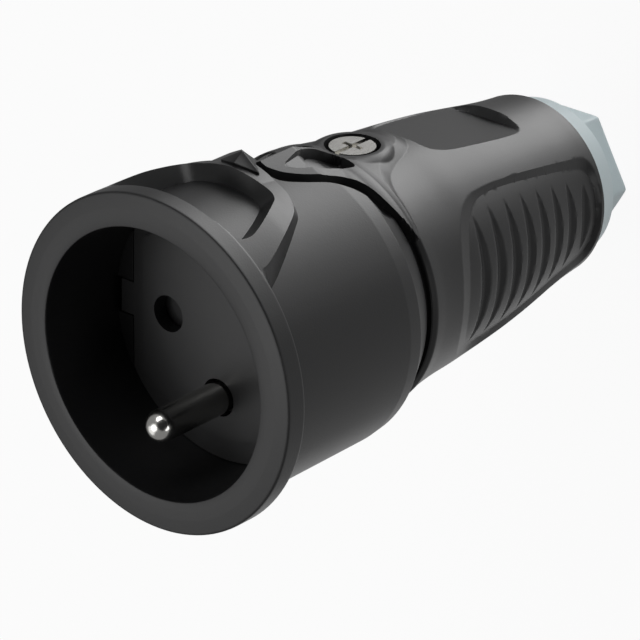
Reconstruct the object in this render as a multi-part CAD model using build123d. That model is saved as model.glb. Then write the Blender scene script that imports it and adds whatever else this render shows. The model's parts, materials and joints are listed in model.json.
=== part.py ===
from build123d import *
import os
from math import asin, cos, degrees, pi, radians, sin, sqrt, tan

# An in-line power socket with a fixed earth pin. It stands on the end of its gland nut with its mouth up.
# Millimetres. Depths run down from the mouth's rim, and the housing screw faces -Y.

total_length = 93.4

# Mouth and recess
mouth_radius = 20.0
recess_radius = 19.75
recess_depth = 14.5
rim_flat_radius = 22.7
rim_fall = 0.35
collar_radius = 25.0
collar_length = 3.7
collar_step = 1.2

# Barrel of the front shell
barrel_top_radius = 22.6
barrel_end_radius = 22.2
barrel_length = 31.7
front_length = 36.0
front_end_radius = 19.67
front_bore = 18.85
ledge_depth = 16.5
ledge_thickness = 2.0
ledge_bore = 17.4

# Raised arch on the front shell, around a shallow pocket
arch_end = 20.4
arch_end_radius = 23.7
arch_side = 16.4
arch_corner = 12.1
arch_corner_depth = 15.6
arch_low = 18.0
arch_high = 25.2
pocket_start = 3.4
pocket_end = 17.2
pocket_half_width = 12.0
pocket_narrow = 9.1
pocket_floor_radius = 22.0
pocket_slope = 2.2
wedge_height = 25.9
wedge_peak_depth = 18.9
wedge_half_width = 3.2

# Notch in the front shell for the tongue
notch_depth = 22.1
notch_front_half = 4.0
notch_slope = 2.6

# Rear shell
shell_gap = 1.3
rear_start = front_length + shell_gap
rear_start_radius = 19.55
rear_rim_radius = 19.93
rear_rim_width = 1.0
nut_length = 9.0
rear_end = total_length - nut_length
rear_end_radius = 14.3
rear_wall = 2.9
spigot_radius = 18.75
spigot_length = 6.6
spigot_wall = 1.9
web_inset = 12.4
web_depth = rear_end - web_inset
web_thickness = 2.0

# Yoke and tongue of the rear shell
tongue_tip = 22.75
tongue_crest = 22.9
tongue_crest_end = 30.5
tongue_side_slope = 0.5
yoke_rise = 0.75
yoke_length = 12.5
yoke_overrun = 4.2
yoke_end = rear_start + yoke_length
boss_top = 19.9
boss_radius = 5.4
tongue_underside = 19.0

# Bare recess in the top of the rear shell
label_start = 52.2
label_inset = 10.3
label_end = rear_end - label_inset
label_half_width = 7.2

# Grip panels and their grooves
panel_start = 46.6
panel_inset = 0.9
panel_end = rear_end - panel_inset
panel_sink = 0.75
groove_count = 8
groove_first = 52.0
groove_inset = 4.05
groove_pitch = (rear_end - groove_inset - groove_first) / (groove_count - 1)
groove_sink = 1.25
groove_half_width = 1.15

# Contact insert
face_rise = 0.4
insert_gap = 0.15
insert_half_width = 16.6
insert_tab_reach = 19.0
insert_tab_half = 2.7
face_half_width = 14.4
face_half_height = 10.4
face_radius = 16.0
insert_plate = 2.0
insert_skirt_wall = 1.8
contact_spacing = 19.0
contact_hole_radius = 2.75
pin_offset = 10.0
pin_hole_radius = 2.85

# Shutter and its spring
shutter_gap = 0.25
shutter_thickness = 1.8
shutter_radius = 13.4
shutter_half_angle = 20.0
shutter_hub_radius = 4.3
pivot_radius = 2.0
pivot_clearance = 0.06
spring_radius = 3.3
spring_wire = 0.3
spring_turns = 3.0
spring_pitch = 0.8

# Contact carrier behind the insert
carrier_flange_radius = 18.4
carrier_flange = 2.4
carrier_radius = 16.2
carrier_end = 34.0
bracket_half_width = 4.6
bracket_face = 14.4
bracket_thickness = 5.0
bracket_end = 47.6

# Earth pin and contact sleeves
pin_radius = 2.4
pin_projection = 14.0
pin_step_lift = 0.2
pin_shank_radius = 2.2
pin_collar_radius = 3.4
pin_collar = 1.2
sleeve_bore = 2.45
sleeve_wall = 0.85
sleeve_length = 15.0
sleeve_slot = 0.7
clip_wire = 0.5

# Terminals
terminal_width = 7.0
terminal_height = 6.8
terminal_length = 9.0
wire_room = 3.8
plate_thickness = 0.8
plate_clearance = 0.15
terminal_screw_radius = 1.7
terminal_head_radius = 2.6
terminal_head = 1.8
terminal_screw_lift = 1.9
earth_terminal_shift = 0.8
screw_clearance = 0.06
slot_width = 0.8
slot_sink = 0.9
cross_reach = 1.7
pocket_clearance = 0.1

# Housing screw, its washer and its nut
screw_setback = 5.2
screw_depth = rear_start + screw_setback
screw_head_radius = 3.4
screw_head_top = 19.6
screw_head = 2.1
screw_radius = 2.0
counterbore_radius = 3.9
washer_radius = 3.65
washer_thickness = 0.7
nut_half_width = 3.4
nut_thickness = 3.0
screw_tip_past_nut = 0.8

# Gland
neck_radius = 10.6
neck_length = 4.1
gland_bore = 8.05
thread_clearance = 0.1
nut_flange_radius = 13.85
nut_flange_end_radius = 12.7
nut_hex_length = 4.6
nut_flange_end = total_length - nut_hex_length
nut_across_corners = 24.0
nut_corner_round = 0.35
cord_entry_radius = 6.5
cord_entry_length = 2.0
clamp_wall = 1.3
clamp_flange_radius = 9.3
clamp_flange = 1.0
clamp_inside_length = 9.5
clamp_finger_reach = 1.1
clamp_fingers = 6
clamp_slot = 1.0
seat_gap = 0.1

# Fixing screws of the insert
fixing_radius = 1.4
fixing_head_radius = 2.4
fixing_head = 1.6
fixing_circle = 13.4
fixing_angle = 130.0


def level(depth):
    return total_length - depth


def turned(points):
    # A body of revolution about Z from (radius, depth) corners
    corners = [(radius, level(depth)) for radius, depth in points]
    return revolve(Plane.XZ * make_face(Polyline(*corners, close=True)), Axis.Z)


def rod(radius, top, bottom, x=0.0, y=0.0):
    # A round bar along Z between two depths
    bar = Cylinder(radius, bottom - top, align=(Align.CENTER, Align.CENTER, Align.MIN))
    return Pos(x, y, level(bottom)) * bar


def spoke(radius, near, far, depth, x=0.0):
    # A round bar along Y between two places on Y
    low, high = min(near, far), max(near, far)
    bar = Cylinder(radius, high - low, align=(Align.CENTER, Align.CENTER, Align.MIN))
    return Pos(x, high, level(depth)) * Rot(90, 0, 0) * bar


def brick(x_low, x_high, y_low, y_high, top, bottom):
    # A block between two depths
    shape = Box(x_high - x_low, y_high - y_low, bottom - top, align=(Align.MIN, Align.MIN, Align.MIN))
    return Pos(x_low, y_low, level(bottom)) * shape


def both_sides(half):
    # Mirrors a half outline of (x, depth) corners that runs from one end of the middle line to the other
    other = [(-x, depth) for x, depth in reversed(half) if x > 0]
    return [(x, level(depth)) for x, depth in half + other]


def front_outline(half, offset=0.0):
    # The face of a two-sided outline, seen from the housing screw's side, in the plane y = -offset
    return Pos(0, -offset, 0) * (Plane.XZ * make_face(Polyline(*both_sides(half), close=True)))


def rear_curve():
    # Outline of the rear shell behind its rim, as (radius, depth): a long, slightly full taper
    start = (rear_rim_radius, rear_start + rear_rim_width)
    span = rear_end - start[1]
    fall = rear_rim_radius - rear_end_radius
    shares = [(0.0, 0.0), (0.10, 0.14), (0.20, 0.225), (0.32, 0.285), (0.46, 0.395)]
    shares += [(0.60, 0.53), (0.74, 0.71), (0.87, 0.875), (1.0, 1.0)]
    return [(start[0] - fall * drop, start[1] + span * along) for along, drop in shares]


def rear_radius(depth):
    # Radius of the rear shell's outside at a depth
    points = rear_curve()
    for (r0, d0), (r1, d1) in zip(points, points[1:]):
        if depth <= d1:
            return r0 + (r1 - r0) * (depth - d0) / (d1 - d0)
    return points[-1][0]


def rear_form(growth=0.0):
    # The rear shell's outside as a full body, grown or shrunk by the same amount everywhere
    curve = rear_curve()
    spline = Spline(*[(radius + growth, level(depth)) for radius, depth in curve])
    first = (0, level(rear_start))
    rim = (rear_start_radius + growth, level(rear_start))
    last = (0, level(rear_end))
    edges = [Line(first, rim), Line(rim, spline @ 0), spline, Line(spline @ 1, last), Line(last, first)]
    return revolve(Plane.XZ * make_face(edges), Axis.Z)


def yoke_half():
    # Half outline of the yoke and its tongue, from the tongue's tip to the rear point
    side = spigot_radius * 0.86
    return [
        (0, tongue_tip), (0.9, tongue_tip), (2.5, tongue_tip + 1.2), (3.3, tongue_tip + 3.8),
        (5.1, tongue_tip + 7.4), (6.9, tongue_tip + 9.8), (8.8, rear_start - 2.7), (10.8, rear_start - 0.95),
        (14.0, rear_start - 0.3), (side, rear_start), (side, rear_start + rear_rim_width), (8.2, rear_start + 1.6),
        (7.3, rear_start + 2.8), (4.3, yoke_end - 2.2), (3.0, yoke_end - 0.7), (1.3, yoke_end - 0.1), (0, yoke_end),
    ]


def yoke_crown():
    # Upper surface of the yoke: a low crown over the taper, a ridged tongue and a flat boss for the screw
    start = rear_start + rear_rim_width
    crown_points = [(0, tongue_tip), (22.2, tongue_tip), (20.9, 30.0), (rear_rim_radius + yoke_rise * 0.6, start)]
    end = yoke_end + yoke_overrun
    for number in (1, 2, 3, 4):
        depth = start + (end - start) * number / 4
        crown_points.append((rear_radius(depth) + yoke_rise, depth))
    crown_points.append((0, end))
    crown = turned(crown_points)
    half = 9.0
    sections = []
    for depth, crest in ((tongue_tip, tongue_crest), (tongue_crest_end, tongue_crest), (rear_start + 0.3, boss_top)):
        foot = crest - tongue_side_slope * half
        corners = [(-half, -foot), (0, -crest), (half, -foot), (half, -12), (-half, -12)]
        sections.append(Pos(0, 0, level(depth)) * make_face(Polyline(*corners, close=True)))
    front = loft([sections[1], sections[0]], ruled=True)
    back = loft([sections[2], sections[1]], ruled=True)
    boss = spoke(boss_radius, -boss_top, -12, screw_depth)
    return crown + front + back + boss


def rear_shell():
    yoke = extrude(front_outline(yoke_half()), amount=30) & yoke_crown()
    under = turned([(0, tongue_tip - 1), (tongue_underside, tongue_tip - 1), (tongue_underside, rear_start - spigot_length)]
                   + [(spigot_radius, rear_start - spigot_length), (spigot_radius, rear_start), (0, rear_start)])
    spigot = rod(spigot_radius, rear_start - spigot_length, rear_start)
    shell = rear_form() + (yoke - under) + spigot
    pad = spoke(boss_radius, -boss_top, -bracket_face - seat_gap, screw_depth)
    neck_end = rear_end + neck_length
    room = [(0, rear_start - spigot_length), (spigot_radius - spigot_wall, rear_start - spigot_length)]
    room += [(spigot_radius - spigot_wall, rear_start + 1.0)]
    for number in (1, 2, 3, 4, 5, 6):
        depth = rear_start + 1.0 + (web_depth - rear_start - 1.0) * number / 6
        room.append((rear_radius(depth) - rear_wall, depth))
    room.append((0, web_depth))
    shell = shell + rod(neck_radius, rear_end - 1, neck_end)
    shell = shell - turned(room) - rod(clamp_inner() + 0.1, web_depth - 1, web_depth + web_thickness + 1)
    shell = shell - rod(gland_bore, web_depth + web_thickness, neck_end + 1)
    shell = shell + (pad & rod(rear_radius(screw_depth), screw_depth - 9, screw_depth + 9))
    shell = shell - spoke(terminal_head_radius + pocket_clearance, 0, terminal_reach() + pocket_clearance,
                          terminal_top() + terminal_length / 2)
    seat = screw_head_top - screw_head - washer_thickness
    shell = shell - spoke(counterbore_radius, -boss_top - 6, -seat, screw_depth)
    shell = shell - spoke(screw_radius + screw_clearance + 0.1, -boss_top, -bracket_face + 1, screw_depth)
    shell = shell - pocket_pair() - label_recess()
    for side in (1, -1):
        shell = shell - grip_panel(side)
        shell = shell - grip_grooves(side)
    return shell


def pocket_pair():
    # Two three-cornered pockets, one on each side of the tongue's crest
    half = [(1.0, 30.2), (4.1, 27.0), (5.2, 29.6), (6.6, 34.0), (5.4, 36.4), (2.6, 37.0), (1.3, 35.6)]
    face = Plane.XZ * make_face(Polyline(*[(x, level(d)) for x, d in half], close=True))
    cut = extrude(face, amount=30) - rod(tongue_underside + 0.5, tongue_tip - 2, rear_start + 1)
    return cut + mirror(cut, Plane.YZ)


def label_recess():
    # The bare flat behind the yoke, a sloping chord across the taper with a wall at its rear end
    width = label_half_width
    half = [(0, label_start), (width - 2.2, label_start + 0.5), (width - 0.9, label_start + 2.0)]
    half += [(width - 0.1, label_start + 4.8), (width, label_end - 3.2), (width - 0.9, label_end - 1.0)]
    half += [(width - 3.6, label_end - 0.2), (0, label_end)]
    heights = [sqrt(rear_radius(depth) ** 2 - width ** 2) + 0.1 for depth in (label_start, label_end)]
    side = [(-heights[0], level(label_start)), (-30, level(label_start)), (-30, level(label_end)),
            (-heights[1], level(label_end))]
    above = extrude(Plane.YZ * make_face(Polyline(*side, close=True)), amount=width + 1, both=True)
    return extrude(front_outline(half), amount=30) & above


def panel_outline():
    # Half outline of a grip panel as (height above the middle, depth)
    middle = (panel_start + panel_end) / 2
    return [
        (0, panel_start), (7.4, panel_start + 0.2), (10.2, panel_start + 1.3), (11.6, panel_start + 2.8),
        (12.3, panel_start + 4.4), (12.8, panel_start + 7.9), (12.6, panel_start + 12.4), (11.7, middle),
        (11.0, panel_end - 12.5), (10.2, panel_end - 7.5), (9.0, panel_end - 3.5), (7.7, panel_end - 1.1),
        (5.8, panel_end - 0.4), (3.8, panel_end - 0.1), (0, panel_end),
    ]


def grip_panel(side):
    corners = both_sides(panel_outline())
    face = Plane.YZ * make_face(Polyline(*corners, close=True))
    return extrude(face, amount=30 * side) - rear_form(-panel_sink)


def grip_grooves(side):
    # Spindle-shaped grooves: each is a V ring about an upright axis, deepest in the middle of the panel
    cutters = []
    for number in range(groove_count):
        depth = groove_first + number * groove_pitch
        outline = panel_outline()
        reach = min(h1 + (h2 - h1) * (depth - d1) / (d2 - d1)
                    for (h1, d1), (h2, d2) in zip(outline, outline[1:]) if d1 <= depth <= d2) - 1.9
        floor = rear_radius(depth) - panel_sink
        middle = floor - groove_sink
        edge = sqrt(floor ** 2 - reach ** 2)
        rise = middle - edge
        ring = (reach ** 2 + rise ** 2) / (2 * rise)
        flare = groove_half_width / groove_sink
        depth_out = 3.0
        corners = [(ring, 0), (ring + depth_out, flare * depth_out), (ring + depth_out, -flare * depth_out)]
        profile = Plane.XZ * make_face(Polyline(*corners, close=True))
        cutter = revolve(Rot(0, 0, -35) * profile, Axis.Z, 70)
        cutter = Pos(middle - ring, 0, level(depth)) * cutter
        cutters.append(cutter if side > 0 else mirror(cutter, Plane.YZ))
    return cutters


def arch_edges():
    # The arch's outer wall as pairs of edge points: (x, depth, height) at its top and at its foot on the barrel
    side, corner, depth, end = arch_side, arch_corner, arch_corner_depth, arch_end
    return [
        ((side + 0.2, 1.5, 18.7), (side + 0.8, 1.5, 14.7)),
        ((side, 6.0, 18.8), (side + 0.5, 6.0, 15.0)),
        ((corner, depth, 21.1), (corner + 0.5, depth + 0.8, 18.7)),
        ((corner - 1.5, depth + 1.7, 21.7), (corner - 1.0, depth + 2.4, 19.6)),
        ((corner - 3.5, end - 1.6, 22.3), (corner - 3.1, end - 0.9, 20.6)),
        ((4.0, end - 0.4, 23.3), (4.3, end + 0.8, 22.0)),
        ((0, end, 23.6), (0, end + 1.3, 22.4)),
    ]


def wall_outline(edges, height):
    # The outline in which the sloping walls through these edges meet a plane at this height
    half = [(0, edges[0][0][1])]
    for (x1, d1, h1), (x2, d2, h2) in edges:
        share = (h1 - height) / (h1 - h2)
        half.append((x1 + (x2 - x1) * share, d1 + (d2 - d1) * share))
    return half


def arch():
    radii = [(0, 1.5), (collar_radius, 1.5), (collar_radius, collar_length + 1.0), (24.85, 9.5), (24.5, 14.0)]
    radii += [(24.1, 18.0), (arch_end_radius, arch_end), (22.4, arch_end + 1.4), (22.4, arch_end + 8), (0, arch_end + 8)]
    low = front_outline(wall_outline(arch_edges(), arch_low), arch_low)
    high = front_outline(wall_outline(arch_edges(), arch_high), arch_high)
    return (loft([low, high], ruled=True) + extrude(low, amount=-6)) & turned(radii)


def arch_pocket():
    # The pocket inside the arch: its walls lean inwards down to a curved floor
    def corners(inset):
        wide = pocket_half_width - inset
        narrow = pocket_narrow - inset
        end = pocket_end - inset * 0.6
        return [
            (0, pocket_start), (wide - 0.3, pocket_start), (wide, pocket_start + 2.1), (wide - 0.4, pocket_start + 4.0),
            (narrow + 1.2, end - 6.4), (narrow - 0.1, end - 3.0), (narrow - 1.0, end - 1.6),
            (narrow - 2.6, end - 0.6), (narrow - 5.2, end - 0.2), (0, end),
        ]
    outside = front_outline(corners(0), collar_radius)
    inside = front_outline(corners(pocket_slope * 1.6), collar_radius - 7.0)
    return loft([inside, outside], ruled=True) - rod(pocket_floor_radius, 0, pocket_end + 2)


def wedge():
    # A small pointed mark on the arch, which meets the tongue's tip
    foot = -arch_end_radius + 1.5
    front, peak = wedge_peak_depth - 2.0, wedge_peak_depth
    rear = notch_depth - 0.3
    side = [(foot, level(front - 1)), (foot, level(rear)), (-arch_end_radius - 0.1, level(rear)),
            (-wedge_height, level(peak)), (-wedge_height + 1.9, level(front - 1))]
    ridge = extrude(Plane.YZ * make_face(Polyline(*side, close=True)), amount=6, both=True)
    spread = wedge_half_width
    corners = [(-spread - 1.5, foot), (-0.45, -wedge_height), (0.45, -wedge_height), (spread + 1.5, foot)]
    roof = extrude(Pos(0, 0, level(rear + 1)) * make_face(Polyline(*corners, close=True)), amount=12)
    return ridge & roof


def notch():
    # The opening that the tongue fills, wide at the barrel's surface and close to the tongue inside
    outside = [
        (0, notch_depth), (notch_front_half, notch_depth), (5.8, notch_depth + 2.7), (7.8, notch_depth + 6.4),
        (9.6, notch_depth + 8.3), (10.6, notch_depth + 9.7), (12.4, front_length + 1), (0, front_length + 1),
    ]
    inside = [
        (0, notch_depth), (1.6, notch_depth), (3.5, notch_depth + 2.2), (4.6, notch_depth + 5.2),
        (7.4, notch_depth + 9.2), (9.2, notch_depth + 11.0), (12.4, front_length + 1), (0, front_length + 1),
    ]
    upper = front_outline(outside, barrel_top_radius + 0.2)
    lower = front_outline(inside, tongue_underside - 0.2)
    return loft([lower, upper], ruled=True) + extrude(front_outline(inside, front_bore * 0.6), amount=12) \
        + extrude(front_outline(outside, barrel_top_radius), amount=6)


def front_shell():
    step = collar_length + collar_step
    outside = turned([
        (0, 0), (rim_flat_radius, 0), (collar_radius - 0.15, rim_fall), (collar_radius, rim_fall + 0.4),
        (collar_radius, collar_length - 0.3), (collar_radius - 0.3, collar_length), (barrel_top_radius, step),
        (barrel_end_radius, barrel_length), (front_end_radius, front_length), (0, front_length),
    ])
    shell = outside + arch() - arch_pocket() + wedge() - notch()
    ledge_end = ledge_depth + ledge_thickness
    recess = turned([(0, 0), (mouth_radius, 0), (recess_radius, ledge_depth), (0, ledge_depth)])
    shell = shell - recess - rod(ledge_bore, 0, ledge_end + 1) - rod(front_bore, ledge_end, front_length + 1)
    shoulder = rod(recess_radius + 0.5, recess_depth, ledge_depth + 0.5) - insert_window(0.0, recess_depth, ledge_end)
    return shell + (shoulder - rod(ledge_bore, ledge_depth, ledge_end))


def insert_window(gap, top, bottom):
    # Outline of the insert's face plate: a disc with two straight sides and a tab in each
    disc = rod(recess_radius - gap, top, bottom)
    plate = disc & brick(-insert_half_width + gap, insert_half_width - gap, -30, 30, top, bottom)
    reach = insert_tab_reach - gap
    half = insert_tab_half - gap
    return plate + brick(-reach, reach, -half, half, top, bottom)


def contact_insert():
    gap = insert_gap
    plate_back = recess_depth + insert_plate - 0.1
    plate = insert_window(gap, recess_depth, plate_back)
    width, height, radius = face_half_width, face_half_height, face_radius
    shoulder = (9.2, sqrt(radius ** 2 - 9.2 ** 2) + 0.5)
    edges = []
    for sign in (1, -1):
        edges.append(Line((sign * width, -sign * height), (sign * width, sign * height)))
        edges.append(Line((sign * width, sign * height), (sign * shoulder[0], sign * shoulder[1])))
        arc = ThreePointArc((sign * shoulder[0], sign * shoulder[1]), (0, sign * radius),
                            (-sign * shoulder[0], sign * shoulder[1]))
        edges.append(arc)
        edges.append(Line((-sign * shoulder[0], sign * shoulder[1]), (-sign * width, sign * height)))
    face = extrude(Pos(0, 0, level(recess_depth + 0.5)) * make_face(edges), amount=face_rise + 0.5)
    skirt_end = ledge_depth + ledge_thickness - 0.1
    outer = ledge_bore - gap
    flat = insert_half_width - gap
    skirt = rod(outer, ledge_depth + 0.1, skirt_end) + (rod(outer, plate_back - 0.2, skirt_end)
                                                       & brick(-flat, flat, -30, 30, 0, skirt_end))
    skirt = skirt - rod(outer - insert_skirt_wall, plate_back - 0.5, skirt_end + 1)
    pivot_end = plate_back + shutter_gap + shutter_thickness + 0.1
    insert = plate + face + skirt + rod(pivot_radius, plate_back - 0.2, pivot_end)
    for side in (1, -1):
        insert = insert - rod(contact_hole_radius, 0, plate_back + 0.1, x=side * contact_spacing / 2)
    insert = insert - rod(pin_hole_radius, 0, plate_back + 0.1, y=pin_offset)
    for x, y in fixing_places():
        insert = insert + (rod(fixing_radius + 1.2, plate_back - 0.2, skirt_end, x, y) & rod(outer, 0, skirt_end))
        insert = insert - rod(fixing_radius, plate_back - 0.1, skirt_end + 1, x, y)
    return insert


def fixing_places():
    # Two screws opposite each other, clear of the shutter's sweep
    across, along = cos(radians(fixing_angle)) * fixing_circle, sin(radians(fixing_angle)) * fixing_circle
    return [(across, along), (-across, -along)]


def shutter_top():
    return recess_depth + insert_plate - 0.1 + shutter_gap


def shutter():
    top = shutter_top()
    bottom = top + shutter_thickness
    blades = rod(shutter_radius, top, bottom)
    slope = tan(radians(shutter_half_angle))
    reach = shutter_radius + 2
    for side in (1, -1):
        wide = reach * slope
        corners = [(0, 0), (side * reach, wide), (side * reach, -wide)]
        sector = extrude(Pos(0, 0, level(bottom)) * make_face(Polyline(*corners, close=True)), amount=shutter_thickness)
        blades = (blades & sector) if side > 0 else blades
    right = blades
    left = mirror(right, Plane.YZ)
    hub = rod(shutter_hub_radius, top, bottom)
    return right + left + hub - rod(pivot_radius + pivot_clearance, top - 1, bottom + 1)


def carrier_top():
    return ledge_depth + ledge_thickness


def shutter_spring():
    # A torsion coil in the carrier's middle pocket
    helix = Helix(spring_pitch, spring_pitch * spring_turns, spring_radius)
    start = helix @ 0
    section = Plane(origin=start, z_dir=helix % 0) * Circle(spring_wire)
    coil = sweep(section, path=helix)
    bottom = carrier_top() + 0.6 + spring_pitch * spring_turns + spring_wire * 2
    return Pos(0, 0, level(bottom) + spring_wire) * coil


def sleeve_top():
    return carrier_top() + 1.4


def terminal_top():
    return sleeve_top() + sleeve_length


def carrier():
    top = carrier_top()
    flange_end = top + carrier_flange
    body = rod(carrier_flange_radius, top, flange_end) + rod(carrier_radius, flange_end - 0.5, carrier_end)
    spring_room = spring_radius + spring_wire + 0.4
    spring_floor = top + 0.6 + spring_pitch * spring_turns + spring_wire * 2
    body = body - rod(spring_room, top - 1, spring_floor)
    sleeve_outside = sleeve_bore + sleeve_wall + clip_wire * 2
    for side in (1, -1):
        x = side * contact_spacing / 2
        body = body - rod(pin_radius + 0.3, top - 1, sleeve_top() + 0.5, x=x)
        body = body - rod(sleeve_outside + 0.2, sleeve_top(), carrier_end + 1, x=x)
    body = body - rod(pin_shank_radius + 0.05, top - 1, carrier_end + 1, y=pin_offset)
    body = body - rod(pin_collar_radius + 0.1, top - 1, top + pin_collar, y=pin_offset)
    for x, y in fixing_places():
        body = body - rod(fixing_radius + 0.15, top - 1, carrier_end + 1, x, y)
        body = body - rod(fixing_head_radius + 0.15, flange_end, carrier_end + 1, x, y)
    back = bracket_face - bracket_thickness
    bracket = brick(-bracket_half_width, bracket_half_width, -bracket_face, -back, carrier_end - 2, bracket_end)
    slot = nut_half_width + 0.1
    nut_near = bracket_face - 1.0
    bracket = bracket - brick(-slot, slot, -nut_near, -nut_near + nut_thickness + 0.1, screw_depth - slot, bracket_end + 1)
    bracket = bracket - spoke(screw_radius + 0.2, -bracket_face - 1, -back + 1, screw_depth)
    return body + bracket


def insert_screws():
    screws = []
    head_at = carrier_top() + carrier_flange
    for x, y in fixing_places():
        screw = rod(fixing_radius, shutter_top() + 0.3, head_at + 0.5, x, y)
        screw = screw + rod(fixing_head_radius, head_at, head_at + fixing_head, x, y)
        half = slot_width / 2
        slot = brick(x - fixing_head_radius, x + fixing_head_radius, y - half, y + half,
                     head_at + fixing_head - slot_sink * 0.8, head_at + fixing_head + 1)
        screws.append(screw - slot)
    return Compound(children=screws)


def earth_pin():
    tip = recess_depth - face_rise - pin_projection
    top = carrier_top()
    foot = recess_depth - face_rise - pin_step_lift
    shank = rod(pin_radius, tip + pin_radius, foot, y=pin_offset)
    shank = shank + rod(pin_shank_radius, foot - 0.1, terminal_top(), y=pin_offset)
    dome = Pos(0, pin_offset, level(tip + pin_radius)) * Sphere(pin_radius)
    collar = rod(pin_collar_radius, top + 0.05, top + pin_collar, y=pin_offset)
    return shank + dome + collar


def terminal_block(x, y, towards):
    # A brass block with a wire room that opens at the rear, and a screw hole on the side that faces `towards` in Y
    top = terminal_top()
    half = terminal_width / 2
    high = terminal_height / 2
    block = brick(x - half, x + half, y - high, y + high, top, top + terminal_length)
    room = wire_room / 2
    floor = y - towards * (high - 1.0)
    near, far = sorted((floor, floor + towards * (wire_room + plate_thickness)))
    block = block - brick(x - room, x + room, near, far, top + 1.2, top + terminal_length + 1)
    hole = spoke(terminal_screw_radius + screw_clearance, y, y + towards * (high + 1), top + terminal_length / 2, x)
    return block - hole


def sleeve(x):
    # A slotted tube that grips a plug's pin
    top = sleeve_top()
    end = terminal_top() + 0.5
    tube = rod(sleeve_bore + sleeve_wall, top, end, x=x) - rod(sleeve_bore, top - 1, end - 1.0, x=x)
    cut = sleeve_slot / 2
    return tube - brick(x - 5, x + 5, -cut, cut, top - 1, end - 3.5)


def contact(side):
    x = side * contact_spacing / 2
    return sleeve(x) + terminal_block(x, 0.0, -1)


def contact_clip(side):
    # A wire ring that keeps the slotted sleeve closed
    x = side * contact_spacing / 2
    depth = sleeve_top() + 3.0
    outer = sleeve_bore + sleeve_wall + clip_wire * 2
    ring = rod(outer, depth, depth + clip_wire * 2, x=x) - rod(sleeve_bore + sleeve_wall, depth - 1, depth + 3, x=x)
    return ring - brick(x - 0.6, x + 0.6, 0, outer + 1, depth - 1, depth + 3)


def clamp_plate(x, y, towards):
    # The plate that the terminal screw presses on the wire
    top = terminal_top()
    room = wire_room / 2 - plate_clearance
    ceiling = y + towards * (-terminal_height / 2 + 1.0 + wire_room + plate_thickness - plate_clearance)
    near, far = sorted((ceiling, ceiling - towards * plate_thickness))
    return brick(x - room, x + room, near, far, top + 1.2 + plate_clearance, top + terminal_length)


def terminal_reach():
    return pin_offset - earth_terminal_shift + terminal_height / 2 + terminal_screw_lift + terminal_head


def terminal_screw(x, y, towards):
    ceiling = y + towards * (-terminal_height / 2 + 1.0 + wire_room + plate_thickness - plate_clearance)
    depth = terminal_top() + terminal_length / 2
    seat = y + towards * (terminal_height / 2 + terminal_screw_lift)
    end = seat + towards * terminal_head
    screw = spoke(terminal_screw_radius, ceiling, seat, depth, x) + spoke(terminal_head_radius, seat, end, depth, x)
    half = slot_width / 2
    near, far = sorted((end - towards * slot_sink, end + towards))
    return screw - brick(x - 5, x + 5, near, far, depth - half, depth + half)


def earth_terminal():
    return terminal_block(0.0, pin_offset - earth_terminal_shift, 1)


def housing_screw():
    seat = screw_head_top - screw_head
    nut_inner = bracket_face - 1.0 - nut_thickness
    shank = spoke(screw_radius, -seat - 0.2, -nut_inner + screw_tip_past_nut, screw_depth)
    screw = shank + spoke(screw_head_radius, -screw_head_top, -seat, screw_depth)
    half = slot_width / 2
    low = screw_head_top - slot_sink
    slot = brick(-half, half, -screw_head_top - 1, -low, screw_depth - screw_head_radius - 1,
                 screw_depth + screw_head_radius + 1)
    cross = brick(-cross_reach, cross_reach, -screw_head_top - 1, -low, screw_depth - half, screw_depth + half)
    return screw - slot - cross


def screw_washer():
    seat = screw_head_top - screw_head
    ring = spoke(washer_radius, -seat, -seat + washer_thickness, screw_depth)
    return ring - spoke(screw_radius + screw_clearance, -seat - 1, -seat + 3, screw_depth)


def housing_nut():
    near = bracket_face - 1.0 - 0.05
    half = nut_half_width
    nut = brick(-half, half, -near, -near + nut_thickness, screw_depth - half, screw_depth + half)
    return nut - spoke(screw_radius + screw_clearance, -near - 1, -near + nut_thickness + 1, screw_depth)


def clamp_inner():
    return gland_bore - 0.15 - clamp_wall


def clamp_ring():
    # The keyed sleeve of the cord clamp, with fingers that the nut's cone presses inwards
    outer = gland_bore - 0.15
    inner = clamp_inner()
    neck_end = rear_end + neck_length
    flange_top = neck_end + seat_gap
    flange_end = flange_top + clamp_flange
    tip = flange_end + clamp_finger_reach
    ring = rod(outer, flange_top - clamp_inside_length, flange_end) + rod(clamp_flange_radius, flange_top, flange_end)
    cone = turned([(0, flange_end - 0.5), (outer, flange_end - 0.5), (outer, flange_end), (inner + 0.45, tip), (0, tip)])
    ring = ring + cone - rod(inner, flange_top - clamp_inside_length - 1, tip + 1)
    half = clamp_slot / 2
    for number in range(clamp_fingers // 2):
        cut = brick(-12, 12, -half, half, flange_end - 0.4, tip + 1)
        ring = ring - Rot(0, 0, 180 / (clamp_fingers // 2) * number) * cut
    return ring


def gland_seal():
    top = web_depth + web_thickness
    neck_end = rear_end + neck_length
    bottom = neck_end + seat_gap - clamp_inside_length - 0.2
    return rod(gland_bore - 0.05, top, bottom) - rod(clamp_inner(), top - 1, bottom + 1)


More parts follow.
